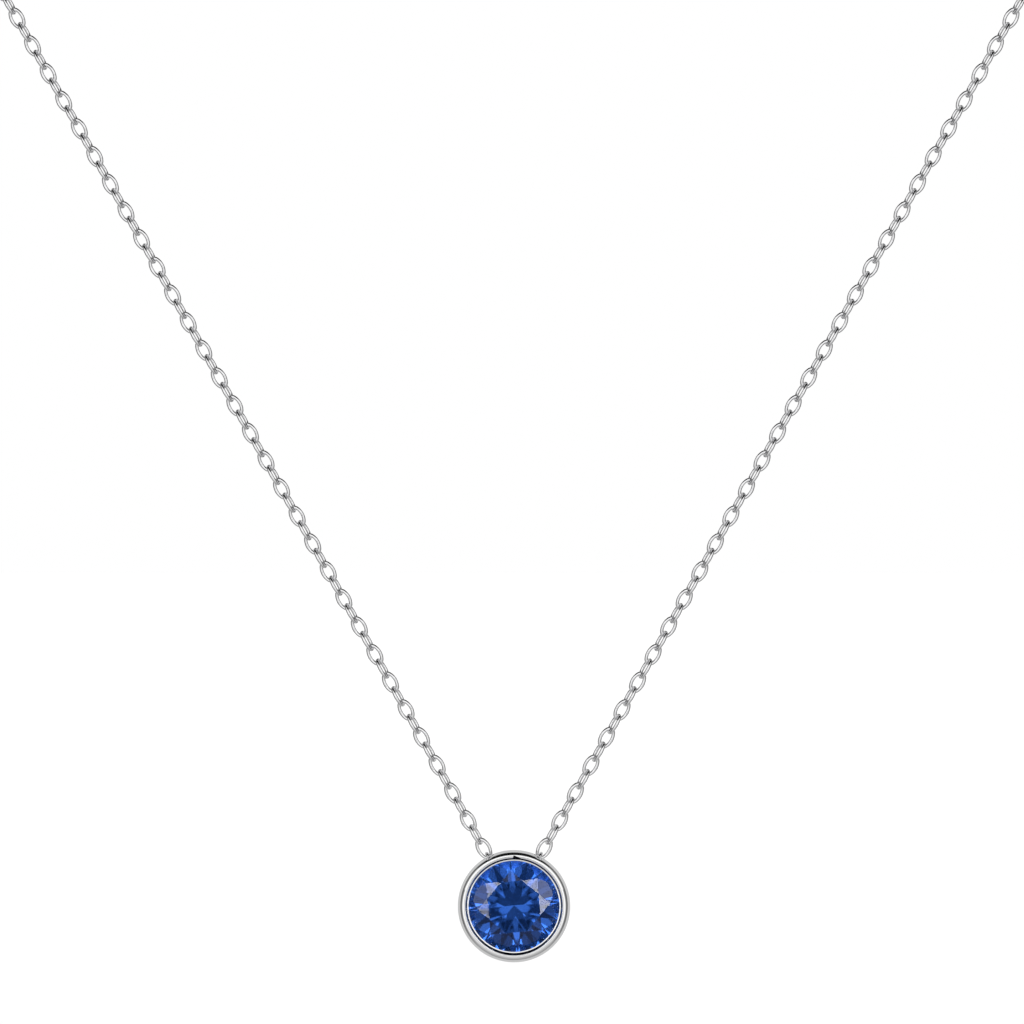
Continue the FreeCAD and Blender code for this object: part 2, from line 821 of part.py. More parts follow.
# Places along the level line at the nape. Each piece pulls on the next, with the chain's play between.
PLAY = D["link_play"]
CLASP_EDGE = D["clasp_radius"] + SIZES["tube_radius"]
EYE_AT = D["eye_sink"] - CLASP_EDGE - D["eye_radius"] - D["eye_wire"] / 2
RING_IN_EYE = D["ring_radius"] - (D["eye_wire"] + D["ring_wire"]) / 2 - PLAY
LEFT_RING_AT = EYE_AT - D["eye_radius"] - RING_IN_EYE
TAG_AT = D["clasp_radius"] - SIZES["tube_radius"] - PLAY + D["tag_ring_hole"]
RING_IN_TAG = D["ring_radius"] - D["ring_wire"] / 2 - PLAY
RIGHT_RING_AT = TAG_AT + D["tag_length"] + D["tag_chain_hole"] + RING_IN_TAG
LINK_IN_RING = D["ring_radius"] - (D["ring_wire"] + D["wire_diameter"]) / 2 - PLAY
RING_TO_JOINT = LINK_IN_RING + HALF_OVERLAP
LEFT_END = nape(LEFT_RING_AT - RING_TO_JOINT)
RIGHT_END = nape(RIGHT_RING_AT + RING_TO_JOINT)

link = link_pattern()
sub_parts = [
    bezel_frame(),
    bezel_collar(),
    stone_seat(),
    blue_stone(),
    bail_loop("left"),
    bail_loop("right"),
    clasp_ring(),
    clasp_eye(),
    clasp_bolt(),
    clasp_knob(),
    clasp_spring(),
    catch_tag(),
    jump_ring("left_jump_ring", LEFT_RING_AT, upright=False),
    jump_ring("right_jump_ring", RIGHT_RING_AT, upright=True),
]
sub_parts += chain_side("left", link, LEFT_END, Vector(0, 0, 1))
sub_parts += chain_side("right", link, RIGHT_END, Vector(0, 1, 0))
doc.recompute()

for thing in doc.Objects:
    if "Invalid" in thing.State or "Error" in thing.State:
        raise RuntimeError(f"{thing.Name} did not build: {thing.State}")
for piece in sub_parts:
    if piece.Shape.isNull() or not piece.Shape.isValid():
        raise RuntimeError(f"{piece.Label} is null or not valid")

os.makedirs("parts", exist_ok=True)
for piece in sub_parts:
    piece.Shape.exportStep(f"parts/{piece.Label}.step")

links = 2 * (FRONT_LINKS + SHOULDER_LINKS + NAPE_LINKS)
print(f"{len(sub_parts)} sub-parts, {links} links")
print(f"chain length {links * D['link_pitch'] + RIGHT_END.x - LEFT_END.x:.1f} mm")
for name, count in (
    ("pendant", 0),
    ("lower", LOWER_LINKS),
    ("middle", LOWER_LINKS + MIDDLE_LINKS),
    ("upper", FRONT_LINKS),
):
    level = arm_point("right", D["arm_first_reach"] + count * D["link_pitch"])
    print(f"{name} hinge through x {level.x:.4f}, y {level.y:.4f}, z {level.z:.4f}")
for piece in sub_parts:
    box = piece.Shape.BoundBox
    print(f"{piece.Label}: {len(piece.Shape.Solids)} solids, {piece.Shape.Volume:.4f} mm3")
    print(f"  x {box.XMin:.2f} {box.XMax:.2f} y {box.YMin:.2f} {box.YMax:.2f}")
    print(f"  z {box.ZMin:.2f} {box.ZMax:.2f}")
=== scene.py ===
import math

import bpy
import numpy as np
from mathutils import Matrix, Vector


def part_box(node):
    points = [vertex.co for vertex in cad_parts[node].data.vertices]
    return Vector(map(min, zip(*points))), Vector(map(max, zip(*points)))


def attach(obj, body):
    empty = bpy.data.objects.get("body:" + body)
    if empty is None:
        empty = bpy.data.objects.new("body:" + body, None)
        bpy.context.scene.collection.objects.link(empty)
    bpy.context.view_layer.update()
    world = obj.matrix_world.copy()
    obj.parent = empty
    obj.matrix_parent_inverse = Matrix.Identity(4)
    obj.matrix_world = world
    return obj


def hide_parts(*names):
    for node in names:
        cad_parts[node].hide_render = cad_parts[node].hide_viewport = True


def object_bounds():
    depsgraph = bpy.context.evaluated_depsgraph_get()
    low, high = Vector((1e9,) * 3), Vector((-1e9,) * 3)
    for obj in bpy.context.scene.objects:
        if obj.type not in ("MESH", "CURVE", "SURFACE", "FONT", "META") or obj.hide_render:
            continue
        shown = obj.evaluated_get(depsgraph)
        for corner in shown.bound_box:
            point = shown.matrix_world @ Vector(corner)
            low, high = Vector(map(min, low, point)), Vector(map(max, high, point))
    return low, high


# A pendant necklace hanging as it is worn, seen from the front through a long lens. Lengths of pieces
# are in millimetres and are turned into metres where a mesh is made. Depths on the pendant run back
# from the plane of the stone's girdle, which faces -Y.

MM = 0.001
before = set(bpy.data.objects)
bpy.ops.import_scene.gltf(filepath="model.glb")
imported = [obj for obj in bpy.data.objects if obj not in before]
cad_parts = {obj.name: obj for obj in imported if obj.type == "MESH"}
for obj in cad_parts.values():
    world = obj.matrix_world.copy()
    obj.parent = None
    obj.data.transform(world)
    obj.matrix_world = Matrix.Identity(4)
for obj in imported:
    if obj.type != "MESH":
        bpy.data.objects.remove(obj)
cad_low, cad_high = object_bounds()

# chain
WIRE_RADIUS = 0.125
LINK_LENGTH = 1.63
LINK_WIDTH = 1.10
LINK_END_RADIUS = 0.33
LINK_SOLDER_SWELL = 0.05
LINK_SOLDER_REACH = 0.09
# the body that each run of links moves with, and how many links the run has
RUNS = {
    "lower": ("lower_arms", 26),
    "middle": ("middle_arms", 26),
    "upper": ("upper_arms", 26),
    "shoulder": ("neck_chain", 59),
    "nape": ("neck_chain", 59),
}

# pendant
STONE_RADIUS = 3.25
GIRDLE_THICKNESS = 0.15
PAVILION_ANGLE = 42.5
FRAME_BORE, FRAME_SHELF = 3.345, 0.64
FRAME_WALL = ((3.62, 0.42), (3.45, 3.07))
BACK_OPENING, BACK_DEPTH = 2.92, 3.15
COLLAR_INNER, COLLAR_OUTER, COLLAR_BACK = 3.26, 3.34, 0.60
SEAT_INNER, SEAT_OUTER, SEAT_FRONT = 2.88, 3.25, 0.09
BAIL_RADIUS = 0.375
BAIL_TILT = 27.55
BAIL_SOLDER_SWELL = 0.45
BAIL_SOLDER_REACH = 0.10

# clasp end
RING_WIRE_RADIUS = 0.175
RING_RADIUS = 1.025
EYE_RADIUS = 0.625
CLASP_RADIUS = 2.33
TUBE_RADIUS = 0.475
EYE_SOLDER_SWELL = 0.35
EYE_SOLDER_REACH = 0.14
RING_SLIT = 0.03
RING_END_TAPER = 0.90
RING_END_ANGLE = 50

# picture
PICTURE_WIDTH = 71.68
PENDANT_BELOW_MIDDLE = 27.55
PENDANT_RIGHT_OF_MIDDLE = 0.14
LENS = 300.0
SENSOR = 36.0


def middle_of(node):
    low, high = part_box(node)
    return np.array([(a + b) / 2 / MM for a, b in zip(low, high)])


PENDANT = middle_of("bezel_frame")
CULET_DEPTH = GIRDLE_THICKNESS / 2 + STONE_RADIUS * math.tan(math.radians(PAVILION_ANGLE))
GIRDLE_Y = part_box("blue_stone")[1][1] / MM - CULET_DEPTH


# ---- mesh building ----

# how finely an outline is drawn before it is worn and thinned, and what thinning keeps
OUTLINE_STEP = 0.004
LARGEST_BEND = math.radians(3)
LONGEST_STEP = 0.08


def make_mesh(name, points, quads, sharp_angle=None):
    """A smooth mesh of four-sided faces from arrays of points in millimetres and of corner numbers. Its
    edges are sharp where it bends by more than sharp_angle degrees."""
    mesh = bpy.data.meshes.new(name)
    mesh.vertices.add(len(points))
    mesh.vertices.foreach_set("co", (np.asarray(points) * MM).ravel())
    mesh.loops.add(4 * len(quads))
    mesh.loops.foreach_set("vertex_index", np.asarray(quads).ravel())
    mesh.polygons.add(len(quads))
    mesh.polygons.foreach_set("loop_start", np.arange(0, 4 * len(quads), 4))
    mesh.polygons.foreach_set("use_smooth", np.ones(len(quads), dtype=bool))
    mesh.update(calc_edges=True)
    mesh.validate()
    if sharp_angle:
        mesh.set_sharp_from_angle(angle=math.radians(sharp_angle))
    return mesh


def add_piece(name, mesh, material, body, slot, *nodes):
    """A visible piece that stands for the named CAD nodes."""
    piece = bpy.data.objects.new(name, mesh)
    bpy.context.scene.collection.objects.link(piece)
    mesh.materials.append(material)
    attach(piece, body)
    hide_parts(*nodes)
    return piece


def grid_quads(rows, columns, closed_rows=True, closed_columns=True):
    """Corner numbers of the faces between rows of points, wrapped round where closed."""
    last_row = rows if closed_rows else rows - 1
    last_column = columns if closed_columns else columns - 1
    i, j = np.meshgrid(np.arange(last_row), np.arange(last_column), indexing="ij")
    i2, j2 = (i + 1) % rows, (j + 1) % columns
    corners = [i * columns + j, i * columns + j2, i2 * columns + j2, i2 * columns + j]
    return np.stack(corners, axis=-1).reshape(-1, 4)


def tube_points(path, outward, upward, radii, sides):
    """Round sections about the points of a path, each with its own outward direction."""
    angle = np.linspace(0, 2 * math.pi, sides, endpoint=False)
    across = outward[:, None, :] * np.cos(angle)[None, :, None]
    above = np.asarray(upward)[None, None, :] * np.sin(angle)[None, :, None]
    return (path[:, None, :] + radii[:, None, None] * (across + above)).reshape(-1, 3)


def outline_of(corners, ease):
    """Points of a closed outline that runs anticlockwise. Each corner is (radius, depth), or (radius,
    depth, curve) where an arc that bulges outwards leads to it. Every corner is worn down over about
    ease millimetres."""
    pieces = []
    for i, corner in enumerate(corners):
        start, end = np.array(corners[i - 1][:2]), np.array(corner[:2])
        chord = end - start
        length = np.linalg.norm(chord)
        share = np.arange(0, 1, OUTLINE_STEP / length)[:, None]
        if len(corner) == 2:
            pieces.append(start + share * chord)
            continue
        curve = corner[2]
        right = np.array([chord[1], -chord[0]]) / length
        middle = (start + end) / 2 - right * math.sqrt(curve**2 - (length / 2) ** 2)
        first = math.atan2(start[1] - middle[1], start[0] - middle[0])
        angle = first + 2 * math.asin(length / 2 / curve) * share
        pieces.append(middle + curve * np.hstack([np.cos(angle), np.sin(angle)]))
    return thinned(worn(np.concatenate(pieces), ease))


def worn(points, ease):
    """A closed outline averaged along its length, which rounds its corners."""
    reach = int(3 * ease / OUTLINE_STEP)
    weights = np.exp(-((np.arange(-reach, reach + 1) * OUTLINE_STEP / ease) ** 2))
    weights /= weights.sum()
    around = np.concatenate([points[-reach:], points, points[:reach]])
    return np.stack([np.convolve(line, weights, "valid") for line in around.T], axis=-1)


def thinned(points):
    """The same outline with points only where it bends, or after a while on a straight."""
    steps = np.roll(points, -1, axis=0) - points
    headings = np.unwrap(np.arctan2(steps[:, 1], steps[:, 0]))
    kept = [0]
    for i in range(1, len(points)):
        bend = abs(headings[i] - headings[kept[-1]])
        if bend > LARGEST_BEND or (i - kept[-1]) * OUTLINE_STEP > LONGEST_STEP:
            kept.append(i)
    return points[kept]


def lathe(name, outline, sharp_angle=32, steps=288):
    """A mesh turned about the pendant's axis from a closed outline of (radius, depth) points."""
    angle = np.linspace(0, 2 * math.pi, steps, endpoint=False)
    radius, depth = outline[:, 0], outline[:, 1]
    x = PENDANT[0] + np.outer(np.cos(angle), radius)
    y = GIRDLE_Y + np.outer(np.ones(steps), depth)
    z = PENDANT[2] + np.outer(np.sin(angle), radius)
    points = np.stack([x, y, z], axis=-1).reshape(-1, 3)
    return make_mesh(name, points, grid_quads(steps, len(outline))[:, ::-1], sharp_angle)


# ---- materials ----

# painted shade: the groove between the collar and the frame is painted near black as its shadow gap,
# narrower at the sides, with a painted dark reflection in a small wedge just right of the top
GROOVE_RADII = (3.276, 3.382)
PAINTED_SHADE = (0.012, 0.012, 0.014)
PAINTED_SHADE_EDGE = 0.008
SIDE_NARROWING = 0.05
# painted reflection: a small dark wedge painted just right of the top of the groove, in place of a dark
# reflection
WEDGE_LEFT, WEDGE_TIP, WEDGE_RIGHT, WEDGE_HEIGHT = -0.09, -0.02, 0.55, 0.20

# polished metal: how much wider its haze and its colour patches are than its polishing marks, and how
# deep the marks are
HAZE_WIDTH, PATCH_WIDTH = 3, 6
MARK_DEPTH = 0.002

# the stone
STONE_IOR = 1.77
FACET_TINT = (0.33, 0.33, 0.34)
PAVILION_HAZE = 0.07
SILK_SIZE = 0.6
SILK_DARK, SILK_LIGHT = (0.80, 0.88, 1.0), (0.95, 0.97, 1.0)
DEPTH_COLOUR = (0.08, 0.47, 0.88)
DEPTH_DENSITY = 410.0


def new_material(name):
    material = bpy.data.materials.new(name)
    material.use_nodes = True
    nodes, links = material.node_tree.nodes, material.node_tree.links
    return material, nodes, links, nodes["Principled BSDF"]


def noise_in_mm(nodes, links, size, detail, stretch=(1, 1, 1)):
    """A noise texture whose features are about size millimetres, or size / stretch along each axis."""
    place = nodes.new("ShaderNodeTexCoord")
    scale = nodes.new("ShaderNodeMapping")
    scale.inputs["Scale"].default_value = [s / MM / size for s in stretch]
    links.new(place.outputs["Object"], scale.inputs["Vector"])
    noise = nodes.new("ShaderNodeTexNoise")
    noise.inputs["Scale"].default_value = 1.0
    noise.inputs["Detail"].default_value = detail
    links.new(scale.outputs["Vector"], noise.inputs["Vector"])
    return noise.outputs["Fac"]


def ramp(nodes, links, value, low, high, start=0.3, end=0.7):
    """A value that runs from start to end, turned into one that runs from low to high."""
    spread = nodes.new("ShaderNodeMapRange")
    spread.inputs["From Min"].default_value = start
    spread.inputs["From Max"].default_value = end
    spread.inputs["To Min"].default_value = low
    spread.inputs["To Max"].default_value = high
    links.new(value, spread.inputs["Value"])
    return spread.outputs["Result"]


def math_node(nodes, links, operation, first, second):
    """The result of an operation on two values, each a number or a node's output."""
    node = nodes.new("ShaderNodeMath")
    node.operation = operation
    for at, value in enumerate((first, second)):
        if isinstance(value, float):
            node.inputs[at].default_value = value
        else:
            links.new(value, node.inputs[at])
    return node.outputs["Value"]


def painted_shade_share(nodes, links, inner, outer):
    """1 between two radii from the pendant's axis, in front of the girdle, and 0 elsewhere: where shade is
    painted into the groove. The groove is narrower at the sides. Just right of the top the painted shade
    runs out further, in a small wedge of painted reflection."""
    place = nodes.new("ShaderNodeTexCoord")
    middle = nodes.new("ShaderNodeVectorMath")
    middle.operation = "SUBTRACT"
    middle.inputs[1].default_value = PENDANT * MM
    links.new(place.outputs["Object"], middle.inputs[0])
    split = nodes.new("ShaderNodeSeparateXYZ")
    links.new(middle.outputs["Vector"], split.inputs["Vector"])
    x, y, z = split.outputs["X"], split.outputs["Y"], split.outputs["Z"]
    x_square = math_node(nodes, links, "MULTIPLY", x, x)
    z_square = math_node(nodes, links, "MULTIPLY", z, z)
    square = math_node(nodes, links, "ADD", x_square, z_square)
    radius = math_node(nodes, links, "SQRT", square, 0.0)
    narrowed = math_node(nodes, links, "MULTIPLY", x_square, SIDE_NARROWING / outer**2 / MM)
    # painted reflection: the dark wedge just right of the top of the groove
    rising = ramp(nodes, links, x, 0, 1, WEDGE_LEFT * MM, WEDGE_TIP * MM)
    falling = ramp(nodes, links, x, WEDGE_HEIGHT * MM, 0, WEDGE_TIP * MM, WEDGE_RIGHT * MM)
    wedge = math_node(nodes, links, "MULTIPLY", rising, falling)
    above = math_node(nodes, links, "GREATER_THAN", z, 0.0)
    wedge = math_node(nodes, links, "MULTIPLY", wedge, above)
    reduced = math_node(nodes, links, "SUBTRACT", radius, wedge)
    reduced = math_node(nodes, links, "ADD", reduced, narrowed)
    past_inner = ramp(nodes, links, radius, 0, 1, inner * MM, (inner + PAINTED_SHADE_EDGE) * MM)
    past_outer = ramp(nodes, links, reduced, 1, 0, (outer - PAINTED_SHADE_EDGE) * MM, outer * MM)
    in_front = math_node(nodes, links, "LESS_THAN", y, (GIRDLE_Y - PENDANT[1]) * MM)
    between = math_node(nodes, links, "MULTIPLY", past_inner, past_outer)
    return math_node(nodes, links, "MULTIPLY", between, in_front)


def mixed(nodes, links, share, first, second):
    """A mix of two colours, of which the first may be a node's output."""
    mix = nodes.new("ShaderNodeMix")
    mix.data_type = "RGBA"
    if isinstance(first, tuple):
        mix.inputs[6].default_value = (*first, 1)
    else:
        links.new(first, mix.inputs[6])
    mix.inputs[7].default_value = (*second, 1)
    links.new(share, mix.inputs["Factor"])
    return mix.outputs[2]


def metal(name, light, dark, gloss, haze, grain, relief, groove=None):
    """Polished metal: a slightly uneven colour, faint haze in the polish, and fine polishing marks.
    groove names two radii on the pendant between which painted shade turns the metal black."""
    material, nodes, links, shader = new_material(name)
    shader.inputs["Metallic"].default_value = 1.0
    patches = noise_in_mm(nodes, links, grain * PATCH_WIDTH, detail=2)
    tone = mixed(nodes, links, ramp(nodes, links, patches, 0, 1), dark, light)
    if groove:
        # painted shade: the groove between the collar and the frame is painted near black
        tone = mixed(nodes, links, painted_shade_share(nodes, links, *groove), tone, PAINTED_SHADE)
    links.new(tone, shader.inputs["Base Color"])
    smear = noise_in_mm(nodes, links, grain * HAZE_WIDTH, detail=4)
    links.new(ramp(nodes, links, smear, gloss, haze), shader.inputs["Roughness"])
    marks = noise_in_mm(nodes, links, grain, detail=3, stretch=(1, 1, 0.3))
    bump = nodes.new("ShaderNodeBump")
    bump.inputs["Strength"].default_value = relief
    bump.inputs["Distance"].default_value = MARK_DEPTH * MM
    links.new(marks, bump.inputs["Height"])
    links.new(bump.outputs["Normal"], shader.inputs["Normal"])
    return material


def gemstone():
    """Deep blue corundum: colour from the depth that light passes through, with faint silk inside. The
    facets below the girdle are less finely polished than those above it."""
    material, nodes, links, shader = new_material("sapphire_blue")
    shader.inputs["Transmission Weight"].default_value = 1.0
    shader.inputs["IOR"].default_value = STONE_IOR
    shader.inputs["Specular Tint"].default_value = (*FACET_TINT, 1)
    place = nodes.new("ShaderNodeTexCoord")
    split = nodes.new("ShaderNodeSeparateXYZ")
    links.new(place.outputs["Object"], split.inputs["Vector"])
    girdle, below = GIRDLE_Y * MM, (GIRDLE_Y + GIRDLE_THICKNESS) * MM
    haze = ramp(nodes, links, split.outputs["Y"], 0, PAVILION_HAZE, girdle, below)
    links.new(haze, shader.inputs["Roughness"])
    silk = ramp(nodes, links, noise_in_mm(nodes, links, SILK_SIZE, detail=2), 0, 1)
    links.new(mixed(nodes, links, silk, SILK_DARK, SILK_LIGHT), shader.inputs["Base Color"])
    depth = nodes.new("ShaderNodeVolumeAbsorption")
    depth.inputs["Color"].default_value = (*DEPTH_COLOUR, 1)
    depth.inputs["Density"].default_value = DEPTH_DENSITY
    links.new(depth.outputs["Volume"], nodes["Material Output"].inputs["Volume"])
    return material


SILVER = metal(
    "silver_polished",
    light=(0.95, 0.95, 0.955),
    dark=(0.92, 0.92, 0.93),
    gloss=0.03,
    haze=0.06,
    grain=0.25,
    relief=0.04,
    # painted shade in the groove between the collar and the frame
    groove=GROOVE_RADII,
)
WIRE = metal(
    "silver_wire",
    light=(0.95, 0.95, 0.955),
    dark=(0.90, 0.90, 0.915),
    gloss=0.05,
    haze=0.10,
    grain=0.12,
    relief=0.05,
)
CLASP = metal(
    "silver_clasp",
    light=(0.93, 0.93, 0.94),
    dark=(0.88, 0.88, 0.90),
    gloss=0.07,
    haze=0.14,
    grain=0.20,
    relief=0.10,
)
STEEL = metal(
    "spring_steel",
    light=(0.62, 0.61, 0.60),
    dark=(0.50, 0.49, 0.48),
    gloss=0.20,
    haze=0.32,
    grain=0.08,
    relief=0.20,
)
STONE = gemstone()


def dress(node, material):
    """Give a CAD node that is kept a better material."""
    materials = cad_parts[node].data.materials
    materials.clear()
    materials.append(material)


# ---- chain ----


def fillet(clear, swell, reach):
    """How much solder thickens a wire, from how far each of its points is clear of the joint."""
    return swell * np.exp(-((clear / reach) ** 2))


def link_shape(along=60, sides=14):
    """One oval link: its points about its middle, long along X and wide along Y, and its faces. The wire
    is a little thicker at the soldered joint, in the middle of one side."""
    end_offset = (LINK_LENGTH / 2 - WIRE_RADIUS) - LINK_END_RADIUS
    rise = LINK_WIDTH / 2 - WIRE_RADIUS - LINK_END_RADIUS
    side_offset = (end_offset**2 - rise**2) / (2 * rise)
    side_radius = LINK_END_RADIUS + math.hypot(end_offset, side_offset)
    side_half = math.atan2(end_offset, side_offset)
    end_half = math.pi / 2 - side_half
    path, outward = [], []
    for middle, radius, facing, half in (
        ((end_offset, 0), LINK_END_RADIUS, 0.0, end_half),
        ((0, -side_offset), side_radius, math.pi / 2, side_half),
        ((-end_offset, 0), LINK_END_RADIUS, math.pi, end_half),
        ((0, side_offset), side_radius, -math.pi / 2, side_half),
    ):
        for k in range(along // 4):
            angle = facing - half + 2 * half * k / (along // 4)
            way = np.array([math.cos(angle), math.sin(angle), 0])
            path.append(np.array([*middle, 0]) + radius * way)
            outward.append(way)
    path, outward = np.array(path), np.array(outward)
    on_joint_side = path[:, 1] > 0
    radii = WIRE_RADIUS * (1 + fillet(path[:, 0], LINK_SOLDER_SWELL, LINK_SOLDER_REACH) * on_joint_side)
    return tube_points(path, outward, (0, 0, 1), radii, sides), grid_quads(along, sides)


LINK_POINTS, LINK_QUADS = link_shape()


def link_places(node, count):
    """The middle and the three axes of each link in a run, longest first, read from the CAD's links."""
    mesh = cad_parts[node].data
    points = np.empty(3 * len(mesh.vertices), dtype=np.float32)
    mesh.vertices.foreach_get("co", points)
    for link in points.reshape(count, -1, 3).astype(float) / MM:
        rough = link.mean(axis=0)
        axes = np.linalg.svd(link - rough, full_matrices=False)[2]
        axes[2] = np.cross(axes[0], axes[1])
        spread = (link - rough) @ axes.T
        yield rough + (spread.max(axis=0) + spread.min(axis=0)) / 2 @ axes, axes


def chain_run(side, part):
    """One run of the chain as a single piece, with a finely drawn link at each of the CAD's links."""
    body, count = RUNS[part]
    name, node = f"{side}_{part}_chain", f"{side}_{part}_links"
    points, quads = [], []
    for i, (middle, axes) in enumerate(link_places(node, count)):
        points.append(middle + LINK_POINTS @ axes)
        quads.append(LINK_QUADS + i * len(LINK_POINTS))
    mesh = make_mesh(name, np.concatenate(points), np.concatenate(quads))
    add_piece(name, mesh, WIRE, body, "chain_metal", node)


def wire_ring(name, middle, across, up, ring_radius, wire_radius, swell=None, cut=0.0, steps=160, sides=28):
    """A ring of round wire. swell(points) says how much thicker the wire is at each place, and cut is
    the width of the slit left where the ends meet."""
    open_half = cut / 2 / ring_radius
    angle = np.linspace(open_half, 2 * math.pi - open_half, steps, endpoint=cut > 0)
    across, up = np.array(across, dtype=float), np.array(up, dtype=float)
    outward = np.outer(np.cos(angle), across) + np.outer(np.sin(angle), up)
    path = np.asarray(middle) + ring_radius * outward
    radii = np.full(steps, wire_radius)
    if swell:
        radii = wire_radius * (1 + swell(path))
    if cut:
        ends = np.minimum(np.arange(steps), np.arange(steps)[::-1])
        radii = radii * np.where(ends == 0, 0.0, np.where(ends == 1, RING_END_TAPER, 1.0))
    points = tube_points(path, outward, np.cross(across, up), radii, sides)
    quads = grid_quads(steps, sides, closed_rows=not cut)
    return make_mesh(name, points, quads, RING_END_ANGLE if cut else None)


# ---- pendant ----


def frame_outline():
    """A nearly flat face with a rounded inner edge, a narrow shoulder, the rim, the tapering wall with
    its rounded back edge, and the inner shelf."""
    corners = [
        (FRAME_BORE, FRAME_SHELF),
        (FRAME_BORE, -0.52),
        (3.47, -0.60, 0.16),
        (3.64, -0.555, 0.35),
        (3.735, -0.46, 0.26),
        (3.92, -0.05, 2.0),
        (*FRAME_WALL[0], 0.40),
        FRAME_WALL[1],
        (3.37, BACK_DEPTH, 0.09),
        (3.00, BACK_DEPTH),
        (BACK_OPENING, 3.07, 0.09),
        (BACK_OPENING, FRAME_SHELF),
    ]
    return outline_of(corners, ease=0.012)


def collar_outline():
    """The thin lining, its front edge burnished over the stone and its outside fallen back."""
    corners = [
        (COLLAR_INNER, COLLAR_BACK),
        (COLLAR_INNER, -0.08),
        (3.17, -0.145),
        (3.18, -0.205),
        (3.27, -0.225, 0.30),
        (COLLAR_OUTER, -0.10, 0.25),
        (COLLAR_OUTER, COLLAR_BACK),
    ]
    return outline_of(corners, ease=0.010)


def seat_outline():
    """The ring under the stone's edge, its front sloped like the facets that rest on it."""
    throat = SEAT_FRONT + (SEAT_OUTER - SEAT_INNER) * math.tan(math.radians(PAVILION_ANGLE))
    corners = [
        (SEAT_INNER, COLLAR_BACK),
        (SEAT_INNER, throat),
        (SEAT_OUTER, SEAT_FRONT),
        (SEAT_OUTER, COLLAR_BACK),
    ]
    return outline_of(corners, ease=0.008)


def add_pendant():
    for name, outline, node in (
        ("bezel_rim", frame_outline(), "bezel_frame"),
        ("bezel_lining", collar_outline(), "bezel_collar"),
        ("stone_bearing", seat_outline(), "stone_seat"),
    ):
        add_piece(name, lathe(name, outline), SILVER, "pendant", "bezel_metal", node)
    for side in ("left", "right"):
        add_bail(side)
    dress("blue_stone", STONE)


def wall_radius(depth):
    """The frame's outer radius at a depth on its tapering wall."""
    (front_radius, front), (back_radius, back) = FRAME_WALL
    return front_radius + (depth - front) / (back - front) * (back_radius - front_radius)


def add_bail(side):
    """A small ring soldered to the wall, with a fillet of solder at its foot."""
    node = f"{side}_bail_loop"
    low, high = (np.array(corner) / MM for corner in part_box(node))
    steep = math.radians(-BAIL_TILT if side == "left" else BAIL_TILT)
    outward = np.array([math.sin(steep), 0, math.cos(steep)])
    reach = (high[2] - WIRE_RADIUS - PENDANT[2]) / outward[2] - BAIL_RADIUS
    middle = np.array([PENDANT[0], (low[1] + high[1]) / 2, PENDANT[2]]) + outward * reach

    def solder(path):
        from_axis = np.hypot(path[:, 0] - PENDANT[0], path[:, 2] - PENDANT[2])
        clear = np.maximum(from_axis - wall_radius(path[:, 1] - GIRDLE_Y), 0)
        return fillet(clear, BAIL_SOLDER_SWELL, BAIL_SOLDER_REACH)

    mesh = wire_ring(f"{side}_bail", middle, outward, (0, 1, 0), BAIL_RADIUS, WIRE_RADIUS, solder)
    add_piece(f"{side}_bail", mesh, WIRE, "pendant", "chain_metal", node)


# ---- clasp end ----


def add_clasp_end():
    eye = middle_of("clasp_eye")
    clasp = middle_of("clasp_ring")
    eye_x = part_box("clasp_eye")[0][0] / MM + EYE_RADIUS + RING_WIRE_RADIUS

    def solder(path):
        from_axis = np.hypot(path[:, 0] - clasp[0], path[:, 2] - clasp[2])
        clear = np.maximum(np.abs(from_axis - CLASP_RADIUS) - TUBE_RADIUS, 0)
        return fillet(clear, EYE_SOLDER_SWELL, EYE_SOLDER_REACH)

    flat, upright = ((1, 0, 0), (0, 1, 0)), ((1, 0, 0), (0, 0, 1))
    # the way from a jump ring's middle to its slit, along the ring's own two axes
    slit_run, slit_rise = 0.6, 0.8
    mesh = wire_ring("eye_ring", (eye_x, eye[1], eye[2]), *upright, EYE_RADIUS, RING_WIRE_RADIUS, solder)
    add_piece("eye_ring", mesh, CLASP, "clasp", "clasp_metal", "clasp_eye")
    for name, node, axes, body in (
        ("left_ring", "left_jump_ring", flat, "left_ring"),
        ("right_ring", "right_jump_ring", upright, "right_ring"),
    ):
        first, second = np.array(axes[0]), np.array(axes[1])
        across = second * slit_rise + first * slit_run
        up = second * slit_run - first * slit_rise
        mesh = wire_ring(name, middle_of(node), across, up, RING_RADIUS, RING_WIRE_RADIUS, cut=RING_SLIT)
        add_piece(name, mesh, WIRE, body, "chain_metal", node)
    for node in ("clasp_ring", "clasp_bolt", "clasp_knob", "catch_tag"):
        dress(node, CLASP)
    dress("clasp_spring", STEEL)


# ---- studio ----

# radii of the domes about the pendant, and places and sizes of the near lights and the floor, in metres
CAMERA_FLAG_DOME = 0.55
SOFTBOX_DOME = 0.70
TOP_FLAG_DOME = 0.80
SHADE_DOME = 0.85
SIDE_BOX_DOME = 0.86
SURROUND_DOME = 0.90
NEAR_DISTANCE, NEAR_SIZE = 0.060, 0.020
FLOOR_REACH, FLOOR_DROP = 6.0, 0.016
# how white the floor is, and how much light it gives out
FLOOR_WHITE, FLOOR_GLOW = 0.92, 0.12
# how finely the cards are drawn
PATCH_ROWS, PATCH_COLUMNS, RING_STEPS = 24, 49, 72

# The lists below hold angles off the line to the camera, each with a level of light. Light from above
# starts UPPER_START degrees over the horizontal, and light from below fades into the light from the
# sides between FADE_START and FADE_END degrees under it.
UPPER_START, FADE_START, FADE_END, FADE_STEPS = 16, 18, 50, 8
